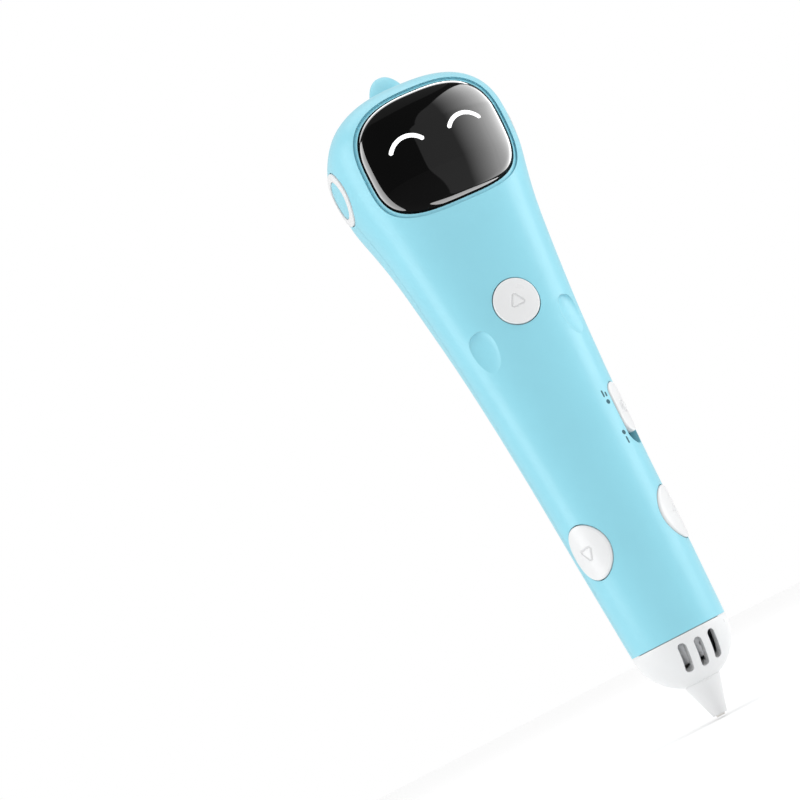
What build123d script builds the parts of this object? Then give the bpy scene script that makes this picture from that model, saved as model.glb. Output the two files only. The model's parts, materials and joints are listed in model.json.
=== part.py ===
from build123d import *
import os
from math import atan2, cos, degrees, pi, radians, sin, sqrt

# Kids' 3D printing pen, stood upright on its nozzle axis. Millimetres.
# Origin: the nozzle's tip. +Z runs up the barrel, -Y is the face side, +X is the right
# hand of someone looking at the face.

# ---------------------------------------------------------------- driving dimensions

# Case: (height, half width, depth in front, depth behind, squareness in front, behind)
CASE_STATIONS = [
    (21.6, 12.8, 12.8, 12.8, 2.0, 2.0),
    (45.0, 14.0, 13.3, 13.5, 2.08, 2.05),
    (70.0, 15.1, 13.4, 14.4, 2.17, 2.15),
    (97.0, 16.8, 13.8, 15.6, 2.27, 2.3),
    (120.0, 19.05, 15.1, 17.0, 2.36, 2.5),
    (140.0, 21.65, 18.1, 18.3, 2.43, 2.75),
    (152.0, 24.15, 21.4, 19.1, 2.47, 2.9),
    (163.0, 25.1, 22.6, 19.4, 2.5, 3.0),
]
SEAM_Z = CASE_STATIONS[0][0]
HEAD_Z = CASE_STATIONS[-1][0]
HEAD_FORM = CASE_STATIONS[-1][1:]
CROWN_RISE = 18.2
CROWN_ROUNDNESS = 2.58
CROWN_ANGLES = (22, 42, 58, 72, 84)
BARREL_SECTIONS = 13
SECTION_POINTS = 24
WALL = 1.8
PARTING_GAP = 0.12

# Face window
LENS_Z = 157.8
LENS_HALF_WIDTH = 19.3
LENS_HALF_HEIGHT = 15.5
LENS_SQUARENESS = 2.95
LENS_PROUD = 0.35
LENS_DEPTH = 1.7
LENS_GAP = 0.25
LENS_RECESS_WIDTH = 1.2
LENS_RECESS_DEPTH = 0.5
EYE_SPACING = 16.4
EYE_Z = LENS_Z + 2.8
EYE_HALF_WIDTH = 4.3
EYE_RISE = 2.2
EYE_STROKE = 1.1
EYE_DEPTH = 0.8

# Ears
EAR_Z = 161.0
EAR_RADIUS = 7.5
EAR_HOLE_RADIUS = 5.35
EAR_CAP_RADIUS = 5.2
EAR_FLANGE_RADIUS = 8.7

# Crest
CREST_HALF_WIDTH = 6.0
CREST_HALF_DEPTH = 3.6
CREST_TOP_Z = 188.8

# Nose and nozzle
NOSE_GAP = 0.15
NOSE_WALL = 2.2
NOSE_FLOOR_Z = 12.6
SPIGOT_RADIUS = 10.85
SPIGOT_TOP_Z = 26.5
VENT_SPACING = 4.0
VENT_WIDTH = 2.0
VENT_LENGTH = 7.8
VENT_TILT = 27.0
SHROUD_RADIUS = 4.8
SHROUD_TIP_RADIUS = 1.9
SHROUD_TIP_Z = 0.5
NOZZLE_RADIUS = 2.6
NOZZLE_TOP_Z = 16.0
OUTLET_RADIUS = 0.35

# Filament path
FILAMENT_RADIUS = 0.875
FEED_BORE_RADIUS = 1.05
FEED_TUBE_RADIUS = 2.0
INLET_TUBE_RADIUS = 1.75
INLET_Y = 9.5
INLET_RADIUS = 1.1
INLET_TUBE_BORE = 1.3
INLET_TOP_Z = 180.7
INLET_LENGTH = 8.0
INLET_LIP_RISE = 0.6

# Thumb dimples beside the feed button, deeper on the side nearer the face
DIMPLE_ANGLE = 49.0
DIMPLE_Z = 104.5
DIMPLE_SIZE = (4.1, 6.0, 1.0)
DIMPLE_LEAN = 12.0

# Buttons: (name, angle from the face, height, half width, half height, mark)
BUTTONS = [
    ("feed", 0.0, 112.7, 6.0, 6.0, "arrow_right"),
    ("retract", -60.0, 49.0, 6.1, 7.2, "arrow_left"),
    ("plus", 60.0, 49.0, 6.1, 7.2, "cross"),
]
MARK_TURNS = {"arrow_right": -28.0, "arrow_left": 152.0, "cross": 0.0}
BUTTON_GAP = 0.22
BUTTON_PROUD = 0.45
BUTTON_TRAVEL = 0.5
FLANGE_LIP = 1.0
FLANGE_THICKNESS = 0.8
SWITCH_SIZE = 6.0
SWITCH_HEIGHT = 2.6
PLUNGER_RADIUS = 1.6
PLUNGER_LENGTH = 1.4
BOARD_THICKNESS = 1.0

# Mode slider
SLIDER_ANGLE = 60.0
SLIDER_Z = 76.6
SLOT_LENGTH = 17.4
SLOT_WIDTH = 7.0
SLIDER_LENGTH = 13.8
SLIDER_WIDTH = 6.5
SLIDER_TRAVEL = 3.2
SLIDER_PROUD = 0.4
BED_DEPTH = 1.95

# Filament drive
ROLLER_Z = 133.0
ROLLER_RADIUS = 3.5
ROLLER_GAP = 0.075
ROLLER_WIDTH = 4.0
AXLE_RADIUS = 1.0
RUNNING_CLEARANCE = 0.05
GEAR_MODULE = 0.5
GEAR_TEETH = 28
PINION_TEETH = 14
GEAR_BACKLASH = 0.12
GEAR_X = 5.2
GEAR_WIDTH = 3.0
MOTOR_Y = 7.4
PIVOT_Y = -6.5
PIVOT_Z = 127.5
PIVOT_RADIUS = 0.9

# Case screws: (x, z)
SCREW_PLACES = [(-7.4, 61.0), (7.4, 61.0), (-12.0, 122.5), (12.0, 122.5)]
SCREW_RADIUS = 0.95
SCREW_HOLE_RADIUS = 1.0
SCREW_HEAD_RADIUS = 1.9
SCREW_SEAT_Y = 4.0
BOSS_RADIUS = 2.5

# Charging socket in the back
USB_Z = 154.0

# ---------------------------------------------------------------- worked-out values

ROLLER_Y = FILAMENT_RADIUS + ROLLER_GAP + ROLLER_RADIUS
GEAR_DISTANCE = GEAR_MODULE * (GEAR_TEETH + PINION_TEETH) / 2 + GEAR_BACKLASH
MOTOR_Z = ROLLER_Z + sqrt(GEAR_DISTANCE**2 - (MOTOR_Y - ROLLER_Y) ** 2)
NOSE_CENTRE_Z = SEAM_Z - NOSE_GAP
NOSE_RADIUS = CASE_STATIONS[0][1]
BIG = 80.0

os.makedirs("parts", exist_ok=True)


# ---------------------------------------------------------------- helpers

def save(name, shape):
    """Writes one piece as parts/NAME.step."""
    export_step(shape, f"parts/{name}.step")


def signed_power(value, exponent):
    """value raised to exponent, with its sign kept."""
    return abs(value) ** exponent * (1 if value >= 0 else -1)


def section(z, half_width, front, back, front_squareness, back_squareness):
    """A level face at height z, half a superellipse in front and half behind."""
    points = []
    for i in range(SECTION_POINTS):
        t = 2 * pi * i / SECTION_POINTS
        half_depth, squareness = (front, front_squareness) if sin(t) < 0 else (back, back_squareness)
        x = half_width * signed_power(cos(t), 2 / squareness)
        y = half_depth * signed_power(sin(t), 2 / squareness)
        points.append((x, y, z))
    return make_face(Spline(*points, periodic=True))


def eased(stations, column, z):
    """Value of a station column at height z, on a smooth curve that never overshoots."""
    heights = [station[0] for station in stations]
    values = [station[column] for station in stations]
    steps = [high - low for low, high in zip(heights, heights[1:])]
    rises = [(b - a) / step for a, b, step in zip(values, values[1:], steps)]
    slopes = [rises[0]]
    for before, after in zip(rises, rises[1:]):
        slopes.append(2 * before * after / (before + after))
    slopes.append(rises[-1])
    i = 0
    while i < len(steps) - 1 and z > heights[i + 1]:
        i += 1
    t = (z - heights[i]) / steps[i]
    start = (2 * t**3 - 3 * t**2 + 1) * values[i]
    end = (3 * t**2 - 2 * t**3) * values[i + 1]
    leave = (t**3 - 2 * t**2 + t) * steps[i] * slopes[i]
    arrive = (t**3 - t**2) * steps[i] * slopes[i + 1]
    return start + leave + end + arrive


def case_at(z):
    """Half width, depths and squarenesses of the case at height z, up to the head."""
    return tuple(eased(CASE_STATIONS, column, z) for column in range(1, 6))


def shrunk(form, inset, share=1.0):
    """Half width and depths less inset and times share, with the squarenesses kept."""
    return tuple((size - inset) * share for size in form[:3]) + tuple(form[3:])


def case_solid(inset):
    """The case's outer form above the seam, shrunk by inset all round."""
    faces = []
    for i in range(BARREL_SECTIONS):
        z = SEAM_Z + (HEAD_Z - SEAM_Z) * i / (BARREL_SECTIONS - 1)
        faces.append(section(z, *shrunk(case_at(z), inset)))
    for angle in CROWN_ANGLES:
        share = cos(radians(angle)) ** (2 / CROWN_ROUNDNESS)
        rise = (CROWN_RISE - inset) * sin(radians(angle)) ** (2 / CROWN_ROUNDNESS)
        faces.append(section(HEAD_Z + rise, *shrunk(HEAD_FORM, inset, share)))
    return loft(faces)


def surface_radius(angle, z):
    """Distance from the axis to the case's front half, angle degrees round from the face."""
    half_width, half_depth, _, squareness, _ = case_at(z)
    across = abs(sin(radians(angle))) / half_width
    along = abs(cos(radians(angle))) / half_depth
    return (across**squareness + along**squareness) ** (-1 / squareness)


def outward(angle, z, radius=0.0):
    """A plane at height z that faces out at angle from the face, with local Y up."""
    direction = (sin(radians(angle)), -cos(radians(angle)), 0)
    across = (cos(radians(angle)), sin(radians(angle)), 0)
    origin = (direction[0] * radius, direction[1] * radius, z)
    return Plane(origin=origin, x_dir=across, z_dir=direction)


def prism(plane, sketch, start, end):
    """sketch on plane, extruded from start to end along the plane's normal."""
    return extrude(plane.offset(start) * sketch, end - start)


def superellipse_sketch(half_width, half_height, squareness):
    """A flat superellipse face in XY."""
    return section(0, half_width, half_height, half_height, squareness, squareness)


def revolved(points):
    """Solid of revolution about Z of a closed (radius, z) outline."""
    outline = make_face(Polyline(*[(r, 0, z) for r, z in points], close=True))
    return revolve(outline, Axis.Z)


def tube(low_z, high_z, outer, inner):
    """Upright tube on the axis."""
    ring = Circle(outer) - Circle(inner)
    return prism(Plane.XY, ring, low_z, high_z)


def cross_rod(y, z, radius, low_x, high_x):
    """Round rod along X."""
    return prism(Plane.YZ, Pos(y, z) * Circle(radius), low_x, high_x)


def box(x, y, z):
    """Box from (low, high) pairs."""
    size = Box(x[1] - x[0], y[1] - y[0], z[1] - z[0])
    return Pos((x[0] + x[1]) / 2, (y[0] + y[1]) / 2, (z[0] + z[1]) / 2) * size


# ---------------------------------------------------------------- case

OUTER = case_solid(0)
PROUD = case_solid(-BUTTON_PROUD)
CAVITY = case_solid(WALL)
LENS_SHEET = case_solid(-LENS_PROUD)


def layer(outset, inset):
    """The skin between two offsets of the case's outer form."""
    return case_solid(-outset) - case_solid(inset)


def thumb_dimple(side):
    """Shallow teardrop dent beside the feed button."""
    angle = DIMPLE_ANGLE * side
    dent = Rot(0, -DIMPLE_LEAN * side, 0) * scale(Sphere(1), by=DIMPLE_SIZE)
    return outward(angle, DIMPLE_Z, surface_radius(angle, DIMPLE_Z) + 0.1) * dent


def lens_outline(extra):
    return superellipse_sketch(
        LENS_HALF_WIDTH + extra, LENS_HALF_HEIGHT + extra, LENS_SQUARENESS
    )


def slot_sketch(length, width):
    """Upright stadium."""
    return Rot(0, 0, 90) * SlotOverall(length, width)


def case_shells():
    """Front and back halves, with the screw bosses left standing in the hollow."""
    hollow = CAVITY
    for x, z in SCREW_PLACES:
        hollow -= prism(Plane.XZ, Pos(x, z) * Circle(BOSS_RADIUS), -BIG, BIG)
    shell = OUTER - hollow
    ear = prism(Plane.YZ, Pos(0, EAR_Z) * Circle(EAR_RADIUS + 0.2), -BIG, BIG)
    shell -= ear
    split = PARTING_GAP / 2
    front = shell & box((-BIG, BIG), (-BIG, -split), (0, 3 * BIG))
    back = shell & box((-BIG, BIG), (split, BIG), (0, 3 * BIG))

    face = outward(0, LENS_Z)
    front -= prism(face, lens_outline(LENS_GAP), 5, BIG)
    rim = prism(face, lens_outline(LENS_RECESS_WIDTH), 5, BIG)
    front -= rim - case_solid(LENS_RECESS_DEPTH)
    for name, angle, z, half_width, half_height, mark in BUTTONS:
        hole = Ellipse(half_width + BUTTON_GAP, half_height + BUTTON_GAP)
        front -= prism(outward(angle, z), hole, 5, BIG)
    slot = slot_sketch(SLOT_LENGTH, SLOT_WIDTH)
    front -= prism(outward(SLIDER_ANGLE, SLIDER_Z), slot, 5, BIG)
    for side in (-1, 1):
        front -= thumb_dimple(side)

    inlet = Pos(0, INLET_Y, 170) * Cylinder(2.45, 40)
    back -= inlet
    port = prism(outward(180, USB_Z), RectangleRounded(9.4, 3.6, 1.2), 5, BIG)
    back -= port
    for x, z in SCREW_PLACES:
        front -= prism(Plane.XZ, Pos(x, z) * Circle(SCREW_HOLE_RADIUS), 0, 7)
        back -= prism(Plane.XZ, Pos(x, z) * Circle(SCREW_HOLE_RADIUS + 0.15), -BIG, 0)
        back -= prism(
            Plane.XZ, Pos(x, z) * Circle(SCREW_HEAD_RADIUS + 0.2), -BIG, -SCREW_SEAT_Y
        )
    return front, back


front_shell, back_shell = case_shells()
save("front_shell", front_shell)
save("back_shell", back_shell)


def case_screws():
    """Self-tapping screws from the back, as one group."""
    shank = prism(Plane.XZ, Circle(SCREW_RADIUS), -SCREW_SEAT_Y, 6)
    head = prism(Plane.XZ, Circle(SCREW_HEAD_RADIUS), -SCREW_SEAT_Y - 1.4, -SCREW_SEAT_Y)
    drive = prism(
        Plane.XZ, Rectangle(2.2, 0.5) + Rectangle(0.5, 2.2), -SCREW_SEAT_Y - 2, -SCREW_SEAT_Y - 0.7
    )
    screw = shank + head - drive
    return Compound(children=[Pos(x, 0, z) * screw for x, z in SCREW_PLACES])


save("case_screws", case_screws())


def crest_fin():
    """Rounded lobe on the crown, flared where it meets the head."""
    base_z = HEAD_Z + CROWN_RISE - 4
    faces = []
    for angle in (0, 25, 45, 62, 76, 85):
        shrink = cos(radians(angle)) ** 0.9
        z = base_z + (CREST_TOP_Z - base_z) * sin(radians(angle))
        half_width = CREST_HALF_WIDTH * shrink
        half_depth = CREST_HALF_DEPTH * shrink
        faces.append(section(z, half_width, half_depth, half_depth, 2.2, 2.2))
    return loft(faces) - OUTER


save("crest_fin", crest_fin())


# ---------------------------------------------------------------- face

def eye_sketch():
    """An upward smiling arc of constant stroke with round ends."""
    radius = (EYE_HALF_WIDTH**2 + EYE_RISE**2) / (2 * EYE_RISE)
    arc = ThreePointArc((-EYE_HALF_WIDTH, 0), (0, EYE_RISE), (EYE_HALF_WIDTH, 0))
    half_angle = degrees(atan2(EYE_HALF_WIDTH, radius - EYE_RISE))
    ring = Circle(radius + EYE_STROKE / 2) - Circle(radius - EYE_STROKE / 2)
    reach = 2 * radius
    edge = (reach * sin(radians(half_angle)), reach * cos(radians(half_angle)))
    wedge = make_face(Polyline((0, 0), edge, (0, reach * 1.5), (-edge[0], edge[1]), close=True))
    stroke = Pos(0, EYE_RISE - radius) * (ring & wedge)
    for end in (arc @ 0, arc @ 1):
        stroke += Pos(end.X, end.Y) * Circle(EYE_STROKE / 2)
    return stroke


def face_pieces():
    face = outward(0, LENS_Z)
    lens = prism(face, lens_outline(0), 5, BIG) & (LENS_SHEET - case_solid(LENS_DEPTH))
    skin = LENS_SHEET - case_solid(EYE_DEPTH)
    eyes = {}
    for name, side in (("eye_light_left", -1), ("eye_light_right", 1)):
        place = Pos(side * EYE_SPACING / 2, EYE_Z - LENS_Z - EYE_RISE / 2)
        stroke = prism(face, place * eye_sketch(), 5, BIG)
        eyes[name] = stroke & skin
        lens -= stroke & (PROUD - case_solid(EYE_DEPTH))
    return lens, eyes


face_lens, eye_lights = face_pieces()
save("face_lens", face_lens)
for name, shape in eye_lights.items():
    save(name, shape)

save("face_board", prism(outward(0, LENS_Z), superellipse_sketch(15, 12.5, 3), 12, 13))


# ---------------------------------------------------------------- ears

def ear_prism(sketch):
    """A flat sketch centred on the ear, run outwards through the right side of the head."""
    return prism(Plane.YZ, Pos(0, EAR_Z) * sketch, 5, BIG)


def ear_pieces():
    """Ring with a floor behind it, and the disc that fills the ring."""
    seat = case_solid(WALL + 0.05)
    ring = ear_prism(Circle(EAR_FLANGE_RADIUS)) & case_solid(-0.35)
    ring -= case_solid(WALL + 1.0)
    ring -= ear_prism(Circle(2 * EAR_RADIUS) - Circle(EAR_RADIUS)) - seat
    ring -= ear_prism(Circle(EAR_HOLE_RADIUS)) - seat
    disc = ear_prism(Circle(EAR_CAP_RADIUS)) & case_solid(-0.05)
    return ring, disc - seat


ear_ring, ear_cap = ear_pieces()
save("ear_ring_right", ear_ring)
save("ear_cap_right", ear_cap)
save("ear_ring_left", mirror(ear_ring, Plane.YZ))
save("ear_cap_left", mirror(ear_cap, Plane.YZ))


# ---------------------------------------------------------------- nose and hot end

def nose_housing():
    """Vented half-ball bowl with a spigot that plugs into the case."""
    bowl = Pos(0, 0, NOSE_CENTRE_Z) * Sphere(NOSE_RADIUS)
    bowl &= box((-BIG, BIG), (-BIG, BIG), (9.2, NOSE_CENTRE_Z))
    cavity = Pos(0, 0, NOSE_CENTRE_Z) * Sphere(NOSE_RADIUS - NOSE_WALL)
    cavity &= box((-BIG, BIG), (-BIG, BIG), (NOSE_FLOOR_Z, 2 * BIG))
    spigot = tube(NOSE_CENTRE_Z - 1, SPIGOT_TOP_Z, SPIGOT_RADIUS, NOSE_RADIUS - NOSE_WALL - 1.0)
    bowl += spigot
    bowl -= cavity
    bowl -= Cylinder(SHROUD_RADIUS + 0.02, 2 * NOSE_FLOOR_Z + 2)
    down = radians(VENT_TILT)
    facing = Plane(
        origin=(0, 0, NOSE_CENTRE_Z), x_dir=(1, 0, 0), z_dir=(0, -cos(down), -sin(down))
    )
    for i in (-1, 0, 1):
        vent = Pos(i * VENT_SPACING, 0) * slot_sketch(VENT_LENGTH, VENT_WIDTH)
        bowl -= prism(facing, vent, 6, 2 * NOSE_RADIUS)
    return bowl


save("nose_housing", nose_housing())

save(
    "nozzle_shroud",
    revolved(
        [
            (SHROUD_TIP_RADIUS, SHROUD_TIP_Z),
            (SHROUD_RADIUS, 9.4),
            (SHROUD_RADIUS, NOSE_FLOOR_Z),
            (SHROUD_RADIUS + 0.8, NOSE_FLOOR_Z),
            (SHROUD_RADIUS + 0.8, NOSE_FLOOR_Z + 1.2),
            (3.2, NOSE_FLOOR_Z + 1.2),
            (3.2, 9.4),
            (1.35, SHROUD_TIP_Z),
        ]
    ),
)

save(
    "nozzle",
    revolved(
        [
            (OUTLET_RADIUS, 0),
            (1.1, 0),
            (1.15, 0.5),
            (NOZZLE_RADIUS, 8),
            (NOZZLE_RADIUS, NOZZLE_TOP_Z),
            (FEED_BORE_RADIUS, NOZZLE_TOP_Z),
            (FEED_BORE_RADIUS, 2.5),
            (OUTLET_RADIUS, 1.5),
        ]
    ),
)


def heater_block():
    block = fillet(Box(9.6, 9.0, 6.6).edges().filter_by(Axis.Z), 1)
    block = Pos(0, 0, 17.9) * block
    block -= Pos(0, 0, 14.5) * Cylinder(NOZZLE_RADIUS, 2 * (NOZZLE_TOP_Z - 14.5))
    block -= Pos(0, 0, 20) * Cylinder(FEED_BORE_RADIUS, 20)
    block -= Pos(0, 0, 21.2) * Cylinder(1.6, 4)
    block -= prism(Plane.XZ, Pos(3.3, 17.5) * Circle(0.7), 0.5, 10)
    return block


save("heater_block", heater_block())
save("thermistor", prism(Plane.XZ, Pos(3.3, 17.5) * Circle(0.65), 0.6, 5.6))
save("heat_break", tube(19.3, 31.0, 1.55, FEED_BORE_RADIUS))
save("heat_break_holder", tube(23.0, 25.6, NOSE_RADIUS - NOSE_WALL - 1.1, 1.6))
save("feed_tube", tube(31.05, 129.0, FEED_TUBE_RADIUS, FEED_BORE_RADIUS))
save("filament_rod", prism(Plane.XY, Circle(FILAMENT_RADIUS), 6.0, 146.0))


def inlet_tube():
    """Tube from the inlet in the crown down to the rollers, with two gentle bends."""
    corner_high = (0, INLET_Y, 166)
    corner_low = (0, 0, 152)
    start = (0, INLET_Y, INLET_TOP_Z - INLET_LENGTH - 0.05)
    end = (0, 0, 137.2)
    route = FilletPolyline(start, corner_high, corner_low, end, radius=[11.0, 26.0])
    ring = Circle(INLET_TUBE_RADIUS) - Circle(INLET_TUBE_BORE)
    return sweep(Plane(origin=start, z_dir=(0, 0, -1)) * ring, route)


save("inlet_tube", inlet_tube())


def filament_guide():
    """Flanged bush at the filament inlet."""
    bush = Pos(0, INLET_Y, INLET_TOP_Z - INLET_LENGTH / 2) * Cylinder(2.4, INLET_LENGTH)
    lip = Pos(0, INLET_Y, INLET_TOP_Z + INLET_LIP_RISE - 1.7) * Cylinder(3.4, 3.4)
    bush += lip - OUTER
    return bush - Pos(0, INLET_Y, INLET_TOP_Z) * Cylinder(INLET_RADIUS, 4 * INLET_LENGTH)


save("filament_guide", filament_guide())


# ---------------------------------------------------------------- buttons

def arrow_mark():
    """Outline of a rounded triangle that points to local +X."""
    outer = RegularPolygon(2.9, 3)
    inner = RegularPolygon(1.9, 3)
    return fillet(outer.vertices(), 0.6) - fillet(inner.vertices(), 0.2)


def cross_mark():
    return Rectangle(3.4, 0.6) + Rectangle(0.6, 3.4)


def lip_distance(angle, z):
    """Distance from the axis to the outer face of a button's lip, clear of the curved wall."""
    curve_drop = 1.45 if angle == 0 else 0.8
    return surface_radius(angle, z) - WALL - curve_drop


def switch_back(angle, z):
    """Distance from the axis to the back of the switch under a button."""
    return lip_distance(angle, z) - FLANGE_THICKNESS - PLUNGER_LENGTH - SWITCH_HEIGHT


def button_pieces(angle, z, half_width, half_height, mark):
    """Button cap, switch plunger, switch body and board, in that order."""
    plane = outward(angle, z)
    lip_radius = lip_distance(angle, z)
    cap = prism(plane, Ellipse(half_width, half_height), lip_radius, BIG) & PROUD
    lip = Ellipse(half_width + FLANGE_LIP, half_height + FLANGE_LIP)
    cap += prism(plane, lip, lip_radius - FLANGE_THICKNESS, lip_radius) & case_solid(WALL + 0.15)
    sketch = cross_mark() if mark == "cross" else arrow_mark()
    sketch = Rot(0, 0, MARK_TURNS[mark]) * sketch
    cap -= prism(plane, sketch, 5, BIG) & (case_solid(-2) - case_solid(-BUTTON_PROUD + 0.25))

    foot = lip_radius - FLANGE_THICKNESS
    switch_top = foot - PLUNGER_LENGTH
    plunger = prism(plane, Circle(PLUNGER_RADIUS), switch_top - 0.9, foot)
    body = Box(SWITCH_SIZE, SWITCH_SIZE, SWITCH_HEIGHT, align=(Align.CENTER, Align.CENTER, Align.MAX))
    body = plane.offset(switch_top) * body
    well = Circle(PLUNGER_RADIUS + RUNNING_CLEARANCE)
    body -= prism(plane, well, switch_top - 0.9 - BUTTON_TRAVEL - 0.2, switch_top + 1)
    board_top = switch_back(angle, z)
    board = prism(plane, RectangleRounded(7.6, 10, 1), board_top - BOARD_THICKNESS, board_top)
    return cap, plunger, body, board


for name, angle, z, half_width, half_height, mark in BUTTONS:
    cap, plunger, body, board = button_pieces(angle, z, half_width, half_height, mark)
    save(f"{name}_button", cap)
    save(f"{name}_plunger", plunger)
    save(f"{name}_switch", body)
    if angle:
        save(f"{name}_board", board)


# ---------------------------------------------------------------- mode slider

def slider_pieces():
    """Slider cap with its stem, slot bed, slide switch and its board."""
    plane = outward(SLIDER_ANGLE, SLIDER_Z)
    rest = Pos(0, SLIDER_TRAVEL / 2)
    reach = surface_radius(SLIDER_ANGLE, SLIDER_Z)
    cap = prism(plane, rest * slot_sketch(SLIDER_LENGTH, SLIDER_WIDTH), 5, BIG)
    cap &= layer(SLIDER_PROUD, WALL - 0.4)
    nub = prism(plane, rest * Circle(1.3), reach - 1, reach + 0.95)
    dimple = plane * Pos(0, SLIDER_TRAVEL / 2, reach + 1.35) * Sphere(1.0)
    stem = prism(plane, rest * Rectangle(1.8, 2.0), reach - 4.6, reach - 1)
    cap += nub + stem
    cap -= dimple

    bed = prism(plane, slot_sketch(SLOT_LENGTH + 2, SLOT_WIDTH + 2), 5, BIG)
    bed &= case_solid(BED_DEPTH) - case_solid(BED_DEPTH + 0.9)
    bed -= prism(plane, Rectangle(2.3, 2.0 + SLIDER_TRAVEL + 0.8), 5, BIG)

    top = reach - 3.9
    body = prism(plane, Rectangle(4.2, 9.0), top - 3.0, top)
    body -= prism(plane, Rectangle(2.1, 2.0 + SLIDER_TRAVEL + 0.4), top - 1.2, top + 1)
    board = prism(plane, RectangleRounded(5.0, 12, 0.8), top - 3.0 - BOARD_THICKNESS, top - 3.0)
    return cap, bed, body, board


slider_cap, slider_bed, slide_switch, slide_board = slider_pieces()
save("mode_slider", slider_cap)
save("slider_bed", slider_bed)
save("slide_switch", slide_switch)
save("slide_board", slide_board)


# ---------------------------------------------------------------- filament drive

def spur_gear(teeth, bore, phase):
    """Flat gear in XY with straight-sided teeth; phase turns it, in degrees."""
    pitch = GEAR_MODULE * teeth / 2
    root = pitch - 1.2 * GEAR_MODULE
    tip = pitch + 0.9 * GEAR_MODULE
    disc = Circle(root)
    pitch_half = GEAR_MODULE * pi / 4 * 0.88
    tooth = make_face(
        Polyline(
            (root - 0.3, -pitch_half * 1.5),
            (pitch, -pitch_half),
            (tip, -pitch_half * 0.42),
            (tip, pitch_half * 0.42),
            (pitch, pitch_half),
            (root - 0.3, pitch_half * 1.5),
            close=True,
        )
    )
    for i in range(teeth):
        disc += Rot(0, 0, phase + 360 * i / teeth) * tooth
    return disc - Circle(bore)


def drive_gears():
    """Drive gear and motor pinion, meshed on the line between their centres."""
    line = degrees(atan2(MOTOR_Z - ROLLER_Z, MOTOR_Y - ROLLER_Y))
    gear = spur_gear(GEAR_TEETH, AXLE_RADIUS, line)
    pinion = spur_gear(PINION_TEETH, AXLE_RADIUS, line + 180 + 180 / PINION_TEETH)
    gear = prism(Plane.YZ, Pos(ROLLER_Y, ROLLER_Z) * gear, GEAR_X, GEAR_X + GEAR_WIDTH)
    pinion = prism(Plane.YZ, Pos(MOTOR_Y, MOTOR_Z) * pinion, GEAR_X, GEAR_X + GEAR_WIDTH)
    return gear, pinion


drive_gear, motor_pinion = drive_gears()
save("drive_gear", drive_gear)
save("motor_pinion", motor_pinion)
save("drive_axle", cross_rod(ROLLER_Y, ROLLER_Z, AXLE_RADIUS, -5.2, 8.7))
save("motor_shaft", cross_rod(MOTOR_Y, MOTOR_Z, AXLE_RADIUS, 0.8, 8.7))


def drive_roller():
    """Ribbed roller that grips the filament."""
    profile = Circle(ROLLER_RADIUS)
    for i in range(24):
        profile -= Rot(0, 0, 15 * i) * Pos(ROLLER_RADIUS + 0.05, 0) * Circle(0.25)
    profile -= Circle(AXLE_RADIUS)
    half = ROLLER_WIDTH / 2
    return prism(Plane.YZ, Pos(ROLLER_Y, ROLLER_Z) * profile, -half, half)


save("drive_roller", drive_roller())


def idler_pieces():
    """Sprung arm with its axle pin, and the idler wheel."""
    wheel_half = ROLLER_WIDTH / 2 - 0.2
    wheel = cross_rod(-ROLLER_Y, ROLLER_Z, ROLLER_RADIUS, -wheel_half, wheel_half)
    wheel -= cross_rod(-ROLLER_Y, ROLLER_Z, 0.8 + RUNNING_CLEARANCE, -BIG, BIG)
    cheek = Pos(PIVOT_Y, PIVOT_Z) * Circle(1.9)
    cheek += Pos(-ROLLER_Y, ROLLER_Z) * Circle(1.6)
    lean = degrees(atan2(ROLLER_Z - PIVOT_Z, -ROLLER_Y - PIVOT_Y))
    middle = ((PIVOT_Y - ROLLER_Y) / 2, (PIVOT_Z + ROLLER_Z) / 2)
    cheek += Pos(*middle) * Rot(0, 0, lean) * Rectangle(6.2, 2.8)
    cheek += Pos(PIVOT_Y - 2.9, PIVOT_Z) * Rectangle(5.8, 1.8)
    arm = prism(Plane.YZ, cheek, -3.1, -2.1) + prism(Plane.YZ, cheek, 2.1, 3.1)
    arm += box((-3.1, 3.1), (PIVOT_Y - 5.8, PIVOT_Y - 2.4), (PIVOT_Z - 0.9, PIVOT_Z + 0.9))
    arm += cross_rod(-ROLLER_Y, ROLLER_Z, 0.8, -3.1, 3.1)
    arm -= cross_rod(PIVOT_Y, PIVOT_Z, PIVOT_RADIUS + RUNNING_CLEARANCE, -BIG, BIG)
    return arm, wheel


idler_arm, idler_wheel = idler_pieces()
save("idler_arm", idler_arm)
save("idler_wheel", idler_wheel)
save("idler_pivot", cross_rod(PIVOT_Y, PIVOT_Z, PIVOT_RADIUS, -4.7, 4.7))

SPRING_Y = PIVOT_Y - 4.2
SHELF_TOP_Z = 122.2


def idler_spring():
    """Small coil spring between the frame's shelf and the arm's tail."""
    wire = 0.22
    height = PIVOT_Z - 0.9 - SHELF_TOP_Z - 2 * wire - 0.04
    coil = Helix(pitch=height / 4, height=height, radius=1.2)
    start = Plane(origin=coil @ 0, z_dir=coil % 0)
    spring = sweep(start * Circle(wire), coil)
    return Pos(0, SPRING_Y, SHELF_TOP_Z + wire + 0.02) * spring


save("idler_spring", idler_spring())


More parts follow.
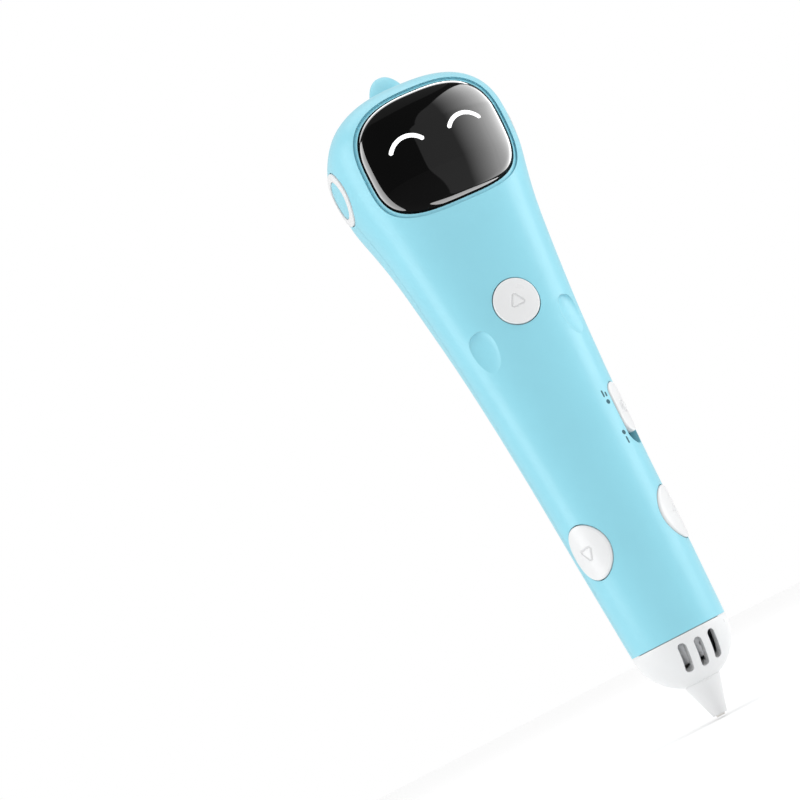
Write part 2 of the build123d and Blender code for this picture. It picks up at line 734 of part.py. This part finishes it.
def drive_frame():
    """U-shaped bracket: shelf, two cheeks, and a face for the gearbox."""
    shelf = box((-4.7, 4.7), (-12.6, 9.0), (SHELF_TOP_Z - 1.5, SHELF_TOP_Z))
    left = box((-4.7, -3.5), (-9.5, 9.0), (SHELF_TOP_Z - 0.5, 135.3))
    right = box((3.5, 4.7), (-9.5, 9.0), (SHELF_TOP_Z - 0.5, 135.3))
    right += box((3.5, 4.7), (2.6, 12.6), (134, MOTOR_Z + 6))
    frame = shelf + left + right
    frame -= Pos(0, 0, SHELF_TOP_Z) * Cylinder(FEED_TUBE_RADIUS + 0.02, 10)
    frame -= cross_rod(ROLLER_Y, ROLLER_Z, AXLE_RADIUS + RUNNING_CLEARANCE, -BIG, BIG)
    frame -= cross_rod(MOTOR_Y, MOTOR_Z, AXLE_RADIUS + 0.4, -BIG, BIG)
    return frame - cross_rod(PIVOT_Y, PIVOT_Z, PIVOT_RADIUS, -BIG, BIG)


save("drive_frame", drive_frame())


def motor_pieces():
    gearbox = box((-5.5, 3.5), (MOTOR_Y - 5, MOTOR_Y + 5), (MOTOR_Z - 6, MOTOR_Z + 6))
    gearbox -= cross_rod(MOTOR_Y, MOTOR_Z, AXLE_RADIUS + RUNNING_CLEARANCE, 0.5, 5)
    motor = cross_rod(MOTOR_Y, MOTOR_Z, 6.0, -15.0, -5.5)
    motor &= box((-BIG, BIG), (MOTOR_Y - 5, MOTOR_Y + 5), (0, 3 * BIG))
    motor += cross_rod(MOTOR_Y, MOTOR_Z, 2.0, -15.8, -14.9)
    return gearbox, motor


motor_gearbox, gear_motor = motor_pieces()
save("motor_gearbox", motor_gearbox)
save("gear_motor", gear_motor)


# ---------------------------------------------------------------- power and boards

battery = fillet(box((-8, 8), (5.3, 10.3), (70, 115)).edges().filter_by(Axis.Z), 2)
save("battery", battery)

board_front = -switch_back(BUTTONS[0][1], BUTTONS[0][2])
board_back = board_front + BOARD_THICKNESS
save("main_board", box((-5, 5), (board_front, board_back), (66, 118)))
save("control_chip", box((-3, 3), (board_back, board_back + 1), (88, 94)))
save("usb_board", box((-7, 7), (8.5, 16.5), (USB_Z - 2.8, USB_Z - 1.8)))


def usb_port():
    """Charging socket, open towards the back of the head."""
    outer = RectangleRounded(9.0, 3.2, 1.1)
    inner = RectangleRounded(8.4, 2.6, 0.9)
    plane = outward(180, USB_Z - 0.2)
    port = prism(plane, outer, 11.6, 18.8) - prism(plane, inner, 12.4, 20)
    return port + prism(plane, Rectangle(6.6, 0.7), 12, 17.8)


save("usb_port", usb_port())
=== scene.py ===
import json
import math

import bmesh
import bpy
import numpy as np
from mathutils import Matrix, Vector


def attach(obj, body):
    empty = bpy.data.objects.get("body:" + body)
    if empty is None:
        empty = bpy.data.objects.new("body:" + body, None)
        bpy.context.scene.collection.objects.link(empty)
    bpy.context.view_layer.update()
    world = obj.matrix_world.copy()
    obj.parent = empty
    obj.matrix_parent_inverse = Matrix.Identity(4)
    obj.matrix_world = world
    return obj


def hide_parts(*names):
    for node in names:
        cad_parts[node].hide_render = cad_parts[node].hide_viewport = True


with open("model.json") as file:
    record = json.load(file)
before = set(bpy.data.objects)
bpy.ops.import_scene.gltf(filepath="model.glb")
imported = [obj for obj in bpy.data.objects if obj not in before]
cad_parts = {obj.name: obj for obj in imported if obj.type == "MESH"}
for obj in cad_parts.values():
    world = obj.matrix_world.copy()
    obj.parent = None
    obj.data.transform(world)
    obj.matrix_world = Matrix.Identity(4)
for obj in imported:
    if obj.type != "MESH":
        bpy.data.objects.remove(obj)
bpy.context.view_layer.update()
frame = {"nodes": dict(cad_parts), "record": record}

MM = 0.001

# ---------------------------------------------------------------- form of the case, in mm

# (height, half width, depth in front, squareness in front)
FRONT_STATIONS = [
    (21.6, 12.8, 12.8, 2.0),
    (45.0, 14.0, 13.3, 2.08),
    (70.0, 15.1, 13.4, 2.17),
    (97.0, 16.8, 13.8, 2.27),
    (120.0, 19.05, 15.1, 2.36),
    (140.0, 21.65, 18.1, 2.43),
    (152.0, 24.15, 21.4, 2.47),
    (163.0, 25.1, 22.6, 2.5),
]
HEAD_Z = 163.0
CROWN_RISE = 18.2
CROWN_ROUNDNESS = 2.58

LENS_Z, LENS_HALF_WIDTH, LENS_HALF_HEIGHT, LENS_SQUARENESS = 157.8, 19.3, 15.5, 2.95
EYE_SPACING, EYE_Z, EYE_HALF_WIDTH, EYE_RISE, EYE_STROKE = 16.4, 160.6, 4.3, 2.2, 1.1
EYE_SHOULDER, EYE_DOME, EYE_FOOT = 0.36, 0.1, 0.1
CREST_HALF_WIDTH, CREST_HALF_DEPTH, CREST_TOP_Z = 6.0, 3.6, 188.8
CREST_ROOT_Z, CREST_FLARE, CREST_FLARE_Z, CREST_SQUARENESS = 178.5, 2.6, 180.4, 0.91
SLIDER_ANGLE, SLIDER_Z, SLIDER_OFFSET = 60.0, 76.6, 1.6
ICON_ANGLE = SLIDER_ANGLE - 22.0
SEARCH_REACH, SEARCH_STEPS = (2.0, 40.0), 34
ROLL_STEPS = 8


def eased(column, z):
    """A station column at heights z, on the case's own smooth curve."""
    heights = np.array([row[0] for row in FRONT_STATIONS])
    values = np.array([row[column] for row in FRONT_STATIONS])
    steps = np.diff(heights)
    rises = np.diff(values) / steps
    inner = 2 * rises[:-1] * rises[1:] / (rises[:-1] + rises[1:])
    slopes = np.concatenate([rises[:1], inner, rises[-1:]])
    z = np.clip(z, heights[0], heights[-1])
    i = np.clip(np.searchsorted(heights, z, side="right") - 1, 0, len(steps) - 1)
    t = (z - heights[i]) / steps[i]
    start = (2 * t**3 - 3 * t**2 + 1) * values[i]
    end = (3 * t**2 - 2 * t**3) * values[i + 1]
    leave = (t**3 - 2 * t**2 + t) * steps[i] * slopes[i]
    arrive = (t**3 - t**2) * steps[i] * slopes[i + 1]
    return start + leave + end + arrive


def outside(x, y, z):
    """Above 1 outside the case's front form, below 1 inside it."""
    up = np.clip((z - HEAD_Z) / CROWN_RISE, 0, 0.999)
    share = (1 - up**CROWN_ROUNDNESS) ** (1 / CROWN_ROUNDNESS)
    width = eased(1, z) * share
    depth = eased(2, z) * share
    squareness = eased(3, z)
    return (np.abs(x) / width) ** squareness + (np.abs(y) / depth) ** squareness


def on_case(across, up, angle, z):
    """Points of the case's skin seen along the outward direction at angle from the face."""
    turn = math.radians(angle)
    out_x, out_y = math.sin(turn), -math.cos(turn)
    side_x, side_y = math.cos(turn), math.sin(turn)
    height = z + up
    low = np.full_like(across, SEARCH_REACH[0])
    high = np.full_like(across, SEARCH_REACH[1])
    for _ in range(SEARCH_STEPS):
        middle = (low + high) / 2
        x = across * side_x + middle * out_x
        y = across * side_y + middle * out_y
        inside = outside(x, y, height) < 1
        low = np.where(inside, middle, low)
        high = np.where(inside, high, middle)
    return np.stack([across * side_x + low * out_x, across * side_y + low * out_y, height], -1)


# ---------------------------------------------------------------- meshes

def mesh_object(name, points, faces):
    """A smooth-shaded mesh piece from points in mm."""
    mesh = bpy.data.meshes.new(name)
    mesh.from_pydata([tuple(float(c) * MM for c in p) for p in points], [], faces)
    mesh.validate()
    work = bmesh.new()
    work.from_mesh(mesh)
    bmesh.ops.recalc_face_normals(work, faces=work.faces)
    work.to_mesh(mesh)
    work.free()
    for polygon in mesh.polygons:
        polygon.use_smooth = True
    obj = bpy.data.objects.new(name, mesh)
    bpy.context.scene.collection.objects.link(obj)
    return obj


def ring_faces(rings, count):
    """Quads between rings, with a fan at each end; ring points first, then two end points."""
    faces = []
    for r in range(rings - 1):
        for i in range(count):
            j = (i + 1) % count
            faces.append((r * count + i, r * count + j, (r + 1) * count + j, (r + 1) * count + i))
    first, last = rings * count, rings * count + 1
    for i in range(count):
        j = (i + 1) % count
        faces.append((first, j, i))
        faces.append((last, (rings - 1) * count + i, (rings - 1) * count + j))
    return faces


def ellipse_outline(half_width, half_height, squareness=2.0):
    """Oval shape, squarer as squareness rises above 2."""
    def outline(t):
        c, s = np.cos(t), np.sin(t)
        return (
            half_width * np.sign(c) * np.abs(c) ** (2 / squareness),
            half_height * np.sign(s) * np.abs(s) ** (2 / squareness),
        )
    return outline


def stadium_outline(half_width, half_height):
    """Upright slot shape with round ends."""
    straight = half_height - half_width

    def outline(t):
        c, s = np.cos(t), np.sin(t)
        lift = np.clip(s * 40, -1, 1) * straight
        return half_width * c, half_width * s + lift
    return outline


def skin_patch(name, outline, angle, z, proud, depth, rounding, relief=None, rings=40,
               count=160, skirt=0.0, centre=(0.0, 0.0)):
    """A closed pad that follows the case: domed top, rounded edge, wall down to depth."""
    t = np.linspace(0, 2 * math.pi, count, endpoint=False)
    edge_x, edge_y = outline(t)
    size = float(np.min(np.hypot(edge_x, edge_y)))
    turn = math.radians(angle)
    points = []

    def ring(share, lift):
        x = edge_x * share + centre[0]
        y = edge_y * share + centre[1]
        if relief is not None and share < 0.98:
            lift = lift + relief(x, y)
        base = on_case(x, y, angle, z)
        base[:, 0] += lift * math.sin(turn)
        base[:, 1] -= lift * math.cos(turn)
        points.extend(base)

    inner = 1 - rounding / size
    for share in np.linspace(1.0 / rings, inner, rings):
        ring(share, proud)
    for k in range(1, ROLL_STEPS + 1):
        bend = math.pi / 2 * k / ROLL_STEPS
        ring(inner + (1 - inner) * math.sin(bend), proud - rounding * (1 - math.cos(bend)))
    if skirt:
        ring(1.0, proud - rounding - 0.12)
        ring(1.0 + skirt / size, proud - rounding - 0.2)
        ring(1.0 + skirt / size, -depth)
    else:
        ring(1.0, -depth * 0.5)
        ring(1.0, -depth)
    ring(0.5, -depth)
    rings_made = len(points) // count
    middle = np.array([centre[0]]), np.array([centre[1]])
    for lift in (proud + (float(relief(*middle)[0]) if relief else 0.0), -depth):
        end = on_case(middle[0], middle[1], angle, z)[0]
        points.append(end + np.array([lift * math.sin(turn), -lift * math.cos(turn), 0.0]))
    return mesh_object(name, points, ring_faces(rings_made, count))


# ---------------------------------------------------------------- materials

def node(tree, kind, **inputs):
    """A new shader node with these socket values."""
    made = tree.nodes.new(kind)
    for key, value in inputs.items():
        made.inputs[key.replace("_", " ")].default_value = value
    return made


def noise(tree, source, scale, detail, low, high):
    """Noise remapped to low..high."""
    cloud = node(tree, "ShaderNodeTexNoise", Scale=scale, Detail=detail, Roughness=0.6)
    tree.links.new(source, cloud.inputs["Vector"])
    remap = node(tree, "ShaderNodeMapRange")
    remap.inputs["From Min"].default_value = 0.3
    remap.inputs["From Max"].default_value = 0.7
    remap.inputs["To Min"].default_value = low
    remap.inputs["To Max"].default_value = high
    tree.links.new(cloud.outputs[0], remap.inputs["Value"])
    return remap.outputs["Result"]


def mix_colour(tree, factor, first, second):
    """Blend from first to second by factor; each is a colour or a socket."""
    mixed = tree.nodes.new("ShaderNodeMix")
    mixed.data_type = "RGBA"
    for socket, value in ((mixed.inputs[6], first), (mixed.inputs[7], second)):
        if isinstance(value, tuple):
            socket.default_value = (*value, 1)
        else:
            tree.links.new(value, socket)
    tree.links.new(factor, mixed.inputs[0])
    return mixed.outputs[2]


def finish(name, colour, rough, tint=0.03, grain=3000.0, bump=0.000004, edge=0.00022, wear=0.25,
           speck=0.0, **shader_values):
    """Moulded or metal finish: soft tint and gloss changes, fine grain, rubbed soft edges."""
    material = bpy.data.materials.new(name)
    material.use_nodes = True
    tree = material.node_tree
    shader = tree.nodes["Principled BSDF"]
    for key, value in shader_values.items():
        shader.inputs[key.replace("_", " ")].default_value = value
    place = tree.nodes.new("ShaderNodeTexCoord").outputs["Object"]
    light = tuple(min(1.0, c * (1 + tint)) for c in colour)
    dark = tuple(c * (1 - tint) for c in colour)
    broad = noise(tree, place, 55.0, 3.0, 0.0, 1.0)
    shade = mix_colour(tree, broad, dark, light)
    if speck:
        dust = noise(tree, place, 2600.0, 1.0, -2.2, 1.2)
        clamp = node(tree, "ShaderNodeClamp")
        tree.links.new(dust, clamp.inputs[0])
        amount = node(tree, "ShaderNodeMath")
        amount.operation = "MULTIPLY"
        amount.inputs[1].default_value = speck
        tree.links.new(clamp.outputs[0], amount.inputs[0])
        shade = mix_colour(tree, amount.outputs[0], shade, tuple(c * 0.6 for c in colour))

    bevel = node(tree, "ShaderNodeBevel", Radius=edge)
    bevel.samples = 6
    facing = tree.nodes.new("ShaderNodeNewGeometry").outputs["Normal"]
    compare = tree.nodes.new("ShaderNodeVectorMath")
    compare.operation = "DOT_PRODUCT"
    tree.links.new(bevel.outputs[0], compare.inputs[0])
    tree.links.new(facing, compare.inputs[1])
    rubbed = node(tree, "ShaderNodeMapRange")
    rubbed.inputs["From Min"].default_value = 0.995
    rubbed.inputs["From Max"].default_value = 0.86
    rubbed.inputs["To Max"].default_value = wear
    tree.links.new(compare.outputs["Value"], rubbed.inputs["Value"])
    pale = tuple(c + (1 - c) * 0.35 for c in colour)
    shade = mix_colour(tree, rubbed.outputs["Result"], shade, pale)
    tree.links.new(shade, shader.inputs["Base Color"])

    gloss = noise(tree, place, 140.0, 4.0, rough * 0.88, rough * 1.14)
    worn = node(tree, "ShaderNodeMath")
    worn.operation = "MULTIPLY_ADD"
    worn.inputs[1].default_value = 0.25
    tree.links.new(rubbed.outputs["Result"], worn.inputs[0])
    tree.links.new(gloss, worn.inputs[2])
    tree.links.new(worn.outputs[0], shader.inputs["Roughness"])

    relief = node(tree, "ShaderNodeBump", Strength=0.7, Distance=bump)
    fine = noise(tree, place, grain, 2.0, 0.0, 1.0)
    tree.links.new(fine, relief.inputs["Height"])
    tree.links.new(bevel.outputs[0], relief.inputs["Normal"])
    tree.links.new(relief.outputs[0], shader.inputs["Normal"])
    return material


MATERIALS = {
    "case_blue": finish("case_blue", (0.249, 0.607, 0.718), 0.36, tint=0.015, wear=0.1,
                        Coat_Weight=0.25, Coat_Roughness=0.22, IOR=1.47),
    "white_plastic": finish("white_plastic", (0.73, 0.735, 0.74), 0.3, tint=0.012, wear=0.1,
                            Coat_Weight=0.2, Coat_Roughness=0.15),
    "lens_black": finish("lens_black", (0.0001, 0.0001, 0.0001), 0.045, tint=0.2, bump=0.0000002,
                         edge=0.0001, wear=0.0, IOR=1.38, Specular_IOR_Level=0.09),
    "eye_white": finish("eye_white", (0.9, 0.9, 0.9), 0.4, tint=0.01, bump=0.000001,
                        Emission_Color=(1, 1, 1, 1), Emission_Strength=0.55),
    "slot_teal": finish("slot_teal", (0.012, 0.11, 0.14), 0.45, tint=0.1),
    "nozzle_ceramic": finish("nozzle_ceramic", (0.8, 0.78, 0.74), 0.45, tint=0.04, bump=0.000008),
    "black_plastic": finish("black_plastic", (0.02, 0.02, 0.022), 0.45, tint=0.1),
    "grey_plastic": finish("grey_plastic", (0.3, 0.31, 0.32), 0.45, tint=0.06),
    "board_green": finish("board_green", (0.012, 0.14, 0.06), 0.35, tint=0.15, speck=0.5),
    "steel": finish("steel", (0.55, 0.56, 0.58), 0.28, tint=0.06, Metallic=1.0),
    "alu": finish("alu", (0.75, 0.76, 0.78), 0.35, tint=0.05, Metallic=1.0),
    "brass": finish("brass", (0.72, 0.49, 0.2), 0.3, tint=0.07, Metallic=1.0),
    "tube_white": finish("tube_white", (0.75, 0.76, 0.74), 0.4, tint=0.03),
    "cell_silver": finish("cell_silver", (0.6, 0.61, 0.63), 0.32, tint=0.05, Metallic=1.0),
    "filament_yellow": finish("filament_yellow", (0.8, 0.5, 0.03), 0.35, tint=0.05),
}
ICON_INK = finish("icon_ink", (0.015, 0.1, 0.13), 0.55, tint=0.1)

slot_of = {row["node"]: row["material_slot"] for row in frame["record"]["subparts"]}
for name, obj in frame["nodes"].items():
    obj.data.materials.clear()
    obj.data.materials.append(MATERIALS[slot_of[name]])


def dress(obj, slot_name, body, *stands_for, material=None):
    """Gives a mesh-built piece its finish and its body, and hides the CAD nodes it stands for."""
    obj.data.materials.append(material or MATERIALS[slot_name])
    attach(obj, body)
    if stands_for:
        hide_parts(*stands_for)
    return obj


# ---------------------------------------------------------------- face

def face_window():
    """Black window with a broad rolled edge and a thin lip that fills its gap."""
    outline = ellipse_outline(LENS_HALF_WIDTH, LENS_HALF_HEIGHT, LENS_SQUARENESS)
    lens = skin_patch(
        "window_glass", outline, 0.0, LENS_Z, 0.33, 1.5, 1.25,
        rings=36, count=240, skirt=0.23,
    )
    return dress(lens, "lens_black", "case", "face_lens")


def eye(name, side):
    """Glowing smiling arc: a low rounded ribbon on the window."""
    radius = (EYE_HALF_WIDTH**2 + EYE_RISE**2) / (2 * EYE_RISE)
    half_angle = math.asin(EYE_HALF_WIDTH / radius)
    half = EYE_STROKE / 2
    rows, across = [], 9
    sweep = np.linspace(-half_angle, half_angle, 40)
    cap = np.linspace(-math.pi / 2, 0, 8)[:-1]
    for angle, push, share in (
        [(-half_angle, half * math.sin(c), math.cos(c)) for c in cap]
        + [(a, 0.0, 1.0) for a in sweep]
        + [(half_angle, -half * math.sin(c), math.cos(c)) for c in cap[::-1]]
    ):
        centre_x = radius * math.sin(angle) + push * math.cos(angle)
        centre_z = radius * math.cos(angle) - push * math.sin(angle)
        normal = (math.sin(angle), math.cos(angle))
        rows.append((centre_x, centre_z, normal, max(share, 0.03)))
    base_z = EYE_Z + EYE_RISE / 2 - radius
    points = []
    for centre_x, centre_z, normal, share in rows:
        for k in range(across):
            s = (2 * k / (across - 1) - 1) * half * share
            points.append((centre_x + s * normal[0], centre_z + s * normal[1],
                           EYE_SHOULDER + EYE_DOME * math.sqrt(max(0.0, 1 - (s / half) ** 2))))
        for s in (half * share, -half * share):
            points.append((centre_x + s * normal[0], centre_z + s * normal[1], EYE_FOOT))
    flat = np.array(points)
    x = flat[:, 0] + side * EYE_SPACING / 2
    z = flat[:, 1] + base_z
    skin = on_case(x, z - LENS_Z, 0.0, LENS_Z)
    skin[:, 1] -= flat[:, 2]
    ring = across + 2
    faces = []
    for r in range(len(rows) - 1):
        for i in range(ring):
            j = (i + 1) % ring
            faces.append((r * ring + i, r * ring + j, (r + 1) * ring + j, (r + 1) * ring + i))
    faces.append(tuple(range(ring)))
    faces.append(tuple(range(len(rows) * ring - 1, (len(rows) - 1) * ring - 1, -1)))
    dress(mesh_object(name + "_glow", skin, faces), "eye_white", "case", name)


window = face_window()
eye("eye_light_left", -1)
eye("eye_light_right", 1)


# ---------------------------------------------------------------- buttons

def segment_distance(x, y, a, b):
    """Distance of points from the segment a-b."""
    ax, ay = a
    bx, by = b[0] - ax, b[1] - ay
    t = np.clip(((x - ax) * bx + (y - ay) * by) / (bx * bx + by * by), 0, 1)
    return np.hypot(x - ax - t * bx, y - ay - t * by)


def groove(distance, width, depth):
    """Rounded groove of the given half width."""
    return -depth * np.clip(1 - (distance / width) ** 2, 0, 1) ** 1.5


def arrow_relief(turn, core=1.4, rounding=0.5):
    """Groove along the outline of a rounded triangle that points along turn."""
    turns = [math.radians(turn + 120 * k) for k in range(3)]
    corners = [(core * math.cos(a), core * math.sin(a)) for a in turns]

    def relief(x, y):
        sides = [segment_distance(x, y, corners[k], corners[(k + 1) % 3]) for k in range(3)]
        reach = np.maximum.reduce([-x * math.cos(a) - y * math.sin(a) for a in turns])
        away = np.minimum.reduce(sides)
        away = np.where(reach < core / 2, -away, away)
        return groove(away - rounding, 0.3, 0.36)
    return relief


def cross_relief(x, y):
    """Groove in the shape of a plus."""
    upright = segment_distance(x, y, (0, -1.7), (0, 1.7))
    level = segment_distance(x, y, (-1.7, 0), (1.7, 0))
    return groove(np.minimum(upright, level), 0.36, 0.36)


for button, angle, z, half_width, half_height, relief in (
    ("feed_button", 0.0, 112.7, 6.0, 6.0, arrow_relief(-28.0)),
    ("retract_button", -60.0, 49.0, 6.1, 7.2, arrow_relief(152.0)),
    ("plus_button", 60.0, 49.0, 6.1, 7.2, cross_relief),
):
    cap = skin_patch(
        button + "_cap", ellipse_outline(half_width, half_height), angle, z, 0.43, 1.6, 0.38,
        relief=relief, rings=70, count=200,
    )
    dress(cap, "white_plastic", button, button)


# ---------------------------------------------------------------- mode slider

def nub_relief(x, y):
    """Small round finger nub with a dished top, at the cap's centre."""
    r = np.hypot(x, y - SLIDER_OFFSET)
    rise = 0.55 / (1 + np.exp((r - 1.1) * 12))
    return rise - 0.5 * np.exp(-((r / 0.6) ** 2)) + groove(r - 1.5, 0.3, 0.4)


slider = skin_patch(
    "mode_slider_cap", stadium_outline(3.25, 6.9), SLIDER_ANGLE, SLIDER_Z, 0.38, 1.35, 0.35,
    relief=nub_relief, rings=60, count=220, centre=(0.0, SLIDER_OFFSET),
)
dress(slider, "white_plastic", "mode_slider", "mode_slider")


def icon(name, outline, across, up):
    """Thin printed mark beside the slider."""
    mark = skin_patch(
        name, outline, ICON_ANGLE, SLIDER_Z, 0.02, 0.1, 0.01,
        rings=4, count=40, centre=(across, up),
    )
    dress(mark, "slot_teal", "case", material=ICON_INK)


icon("icon_long_bar", stadium_outline(0.27, 0.95), 0.1, 5.9)
icon("icon_short_bar", stadium_outline(0.27, 0.65), 1.1, 5.6)
icon("icon_dot", ellipse_outline(0.62, 0.62), 0.6, 3.6)
icon("icon_low_dot", ellipse_outline(0.62, 0.62), 0.6, -5.0)
icon("icon_low_bar", stadium_outline(0.27, 0.95), 0.6, -7.1)


# ---------------------------------------------------------------- crest

def crest():
    """Rounded lobe that flares softly into the crown."""
    top = CREST_TOP_Z - 0.05
    count = 120
    t = np.linspace(0, 2 * math.pi, count, endpoint=False)
    base = HEAD_Z + CROWN_RISE - 4
    points = []
    climb = np.linspace(0, math.radians(88), 48)
    heights = [CREST_ROOT_Z + (top - CREST_ROOT_Z) * math.sin(a) for a in climb]
    for z in heights:
        rise = min(1.0, max(0.0, (z - base) / (top - base)))
        share = math.cos(math.asin(rise)) ** 0.9
        flare = CREST_FLARE * math.exp(-max(0.0, z - CREST_FLARE_Z) / 0.75)
        half_width = CREST_HALF_WIDTH * share + flare
        half_depth = CREST_HALF_DEPTH * share + flare * 0.8
        for angle in t:
            c, s = math.cos(angle), math.sin(angle)
            points.append((half_width * math.copysign(abs(c) ** CREST_SQUARENESS, c),
                           half_depth * math.copysign(abs(s) ** CREST_SQUARENESS, s), z))
    points.append((0, 0, CREST_ROOT_Z))
    points.append((0, 0, top - 0.002))
    lobe = mesh_object("crest_lobe", points, ring_faces(len(heights), count))
    dress(lobe, "case_blue", "case", "crest_fin")


crest()


# ---------------------------------------------------------------- studio

# Camera in metres and degrees: at the height of the joint between case and nose
SEAM_Z = 0.0216
CAMERA_DISTANCE = 0.389
CAMERA_AZIMUTH = math.radians(-16.5)
AIM_YAW = math.radians(5.093)
AIM_PITCH = math.radians(12.415)
CAMERA_ROLL = math.radians(-27.214)
LENS_MM = 68.85
SKY_LIGHT = 0.7
FLOOR_Z = -0.0005


def make_camera():
    """Camera at seam height, turned off the axis, tilted up and rolled."""
    camera = bpy.data.objects.new("camera", bpy.data.cameras.new("camera"))
    bpy.context.scene.collection.objects.link(camera)
    place = Vector(
        (
            CAMERA_DISTANCE * math.sin(CAMERA_AZIMUTH),
            -CAMERA_DISTANCE * math.cos(CAMERA_AZIMUTH),
            SEAM_Z,
        )
    )
    heading = CAMERA_AZIMUTH + AIM_YAW
    turn = Matrix.Rotation(heading, 4, "Z")
    lift = Matrix.Rotation(math.pi / 2 + AIM_PITCH, 4, "X")
    roll = Matrix.Rotation(CAMERA_ROLL, 4, "Z")
    camera.matrix_world = Matrix.Translation(place) @ turn @ lift @ roll
    camera.data.lens = LENS_MM
    camera.data.sensor_width = 36
    bpy.context.scene.camera = camera


def softbox(name, azimuth, elevation, distance, width, height, power, target=(0, 0, 0.12)):
    """Area light that faces the target from the given direction."""
    az, el = math.radians(azimuth), math.radians(elevation)
    way = Vector((math.sin(az) * math.cos(el), -math.cos(az) * math.cos(el), math.sin(el)))
    data = bpy.data.lights.new(name, "AREA")
    data.shape = "RECTANGLE"
    data.size = width
    data.size_y = height
    data.energy = power
    lamp = bpy.data.objects.new(name, data)
    bpy.context.scene.collection.objects.link(lamp)
    lamp.location = Vector(target) + way * distance
    lamp.rotation_euler = way.to_track_quat("Z", "Y").to_euler()
    return lamp


def floor():
    """Plain pale floor just under the tip."""
    mesh = bpy.data.meshes.new("floor")
    half = 4.0
    mesh.from_pydata(
        [(-half, -half, FLOOR_Z), (half, -half, FLOOR_Z), (half, half, FLOOR_Z), (-half, half, FLOOR_Z)],
        [], [(0, 1, 2, 3)],
    )
    plane = bpy.data.objects.new("floor", mesh)
    bpy.context.scene.collection.objects.link(plane)
    plane.data.materials.append(finish("floor", (0.95, 0.95, 0.95), 0.7, tint=0.004, wear=0.0))


def high_sun():
    """Soft light from straight above, mostly for the floor."""
    data = bpy.data.lights.new("high_sun", "SUN")
    data.energy = 1.1
    data.angle = math.radians(70)
    lamp = bpy.data.objects.new("high_sun", data)
    bpy.context.scene.collection.objects.link(lamp)
    lamp.rotation_euler = (math.radians(8), 0, 0)


def sky():
    """White backdrop that lights the pen more softly than it shows."""
    world = bpy.data.worlds.new("world")
    world.use_nodes = True
    tree = world.node_tree
    seen = tree.nodes.new("ShaderNodeLightPath").outputs["Is Camera Ray"]
    level = node(tree, "ShaderNodeMapRange")
    level.inputs["To Min"].default_value = SKY_LIGHT
    level.inputs["To Max"].default_value = 1.0
    tree.links.new(seen, level.inputs["Value"])
    tree.nodes["Background"].inputs[0].default_value = (1, 1, 1, 1)
    tree.links.new(level.outputs["Result"], tree.nodes["Background"].inputs[1])
    bpy.context.scene.world = world


def window_card(name, azimuth, elevation, distance, width, height, low, high):
    """Studio card that only the face window reflects, brighter towards one side."""
    face = (0, -0.02, LENS_Z * 0.001)
    lamp = softbox(name, azimuth, elevation, distance, width, height, 1.0, face)
    lamp.data.shape = "ELLIPSE"
    lamp.data.use_nodes = True
    tree = lamp.data.node_tree
    across = tree.nodes.new("ShaderNodeSeparateXYZ")
    tree.links.new(tree.nodes.new("ShaderNodeNewGeometry").outputs["Parametric"], across.inputs[0])
    fade = node(tree, "ShaderNodeMapRange")
    fade.inputs["From Min"].default_value = 0.28
    fade.inputs["From Max"].default_value = 0.5
    fade.inputs["To Min"].default_value = low
    fade.inputs["To Max"].default_value = high
    tree.links.new(across.outputs[0], fade.inputs["Value"])
    tree.links.new(fade.outputs["Result"], tree.nodes["Emission"].inputs["Strength"])
    lamp.visible_camera = False
    lamp.light_linking.receiver_collection = only_window
    lamp.light_linking.blocker_collection = only_window


make_camera()
floor()
sky()
softbox("right_softbox", 75, 15, 0.7, 0.35, 0.8, 2.3)
softbox("left_softbox", -95, 15, 0.7, 0.35, 0.8, 2.0)
high_sun()
only_window = bpy.data.collections.new("only_window")
only_window.objects.link(window)
window_card("window_sweep", 60, 2, 0.13, 0.42, 0.24, 0.9, 11.0)
window_card("window_rim_left", -100, 0, 0.15, 0.12, 0.26, 4.5, 4.5)
window_card("window_rim_top", 170, 72, 0.15, 0.3, 0.16, 3.5, 3.5)
window_card("window_rim_low", 60, -72, 0.08, 0.2, 0.06, 2.4, 2.4)
bpy.context.scene.view_settings.view_transform = "Standard"
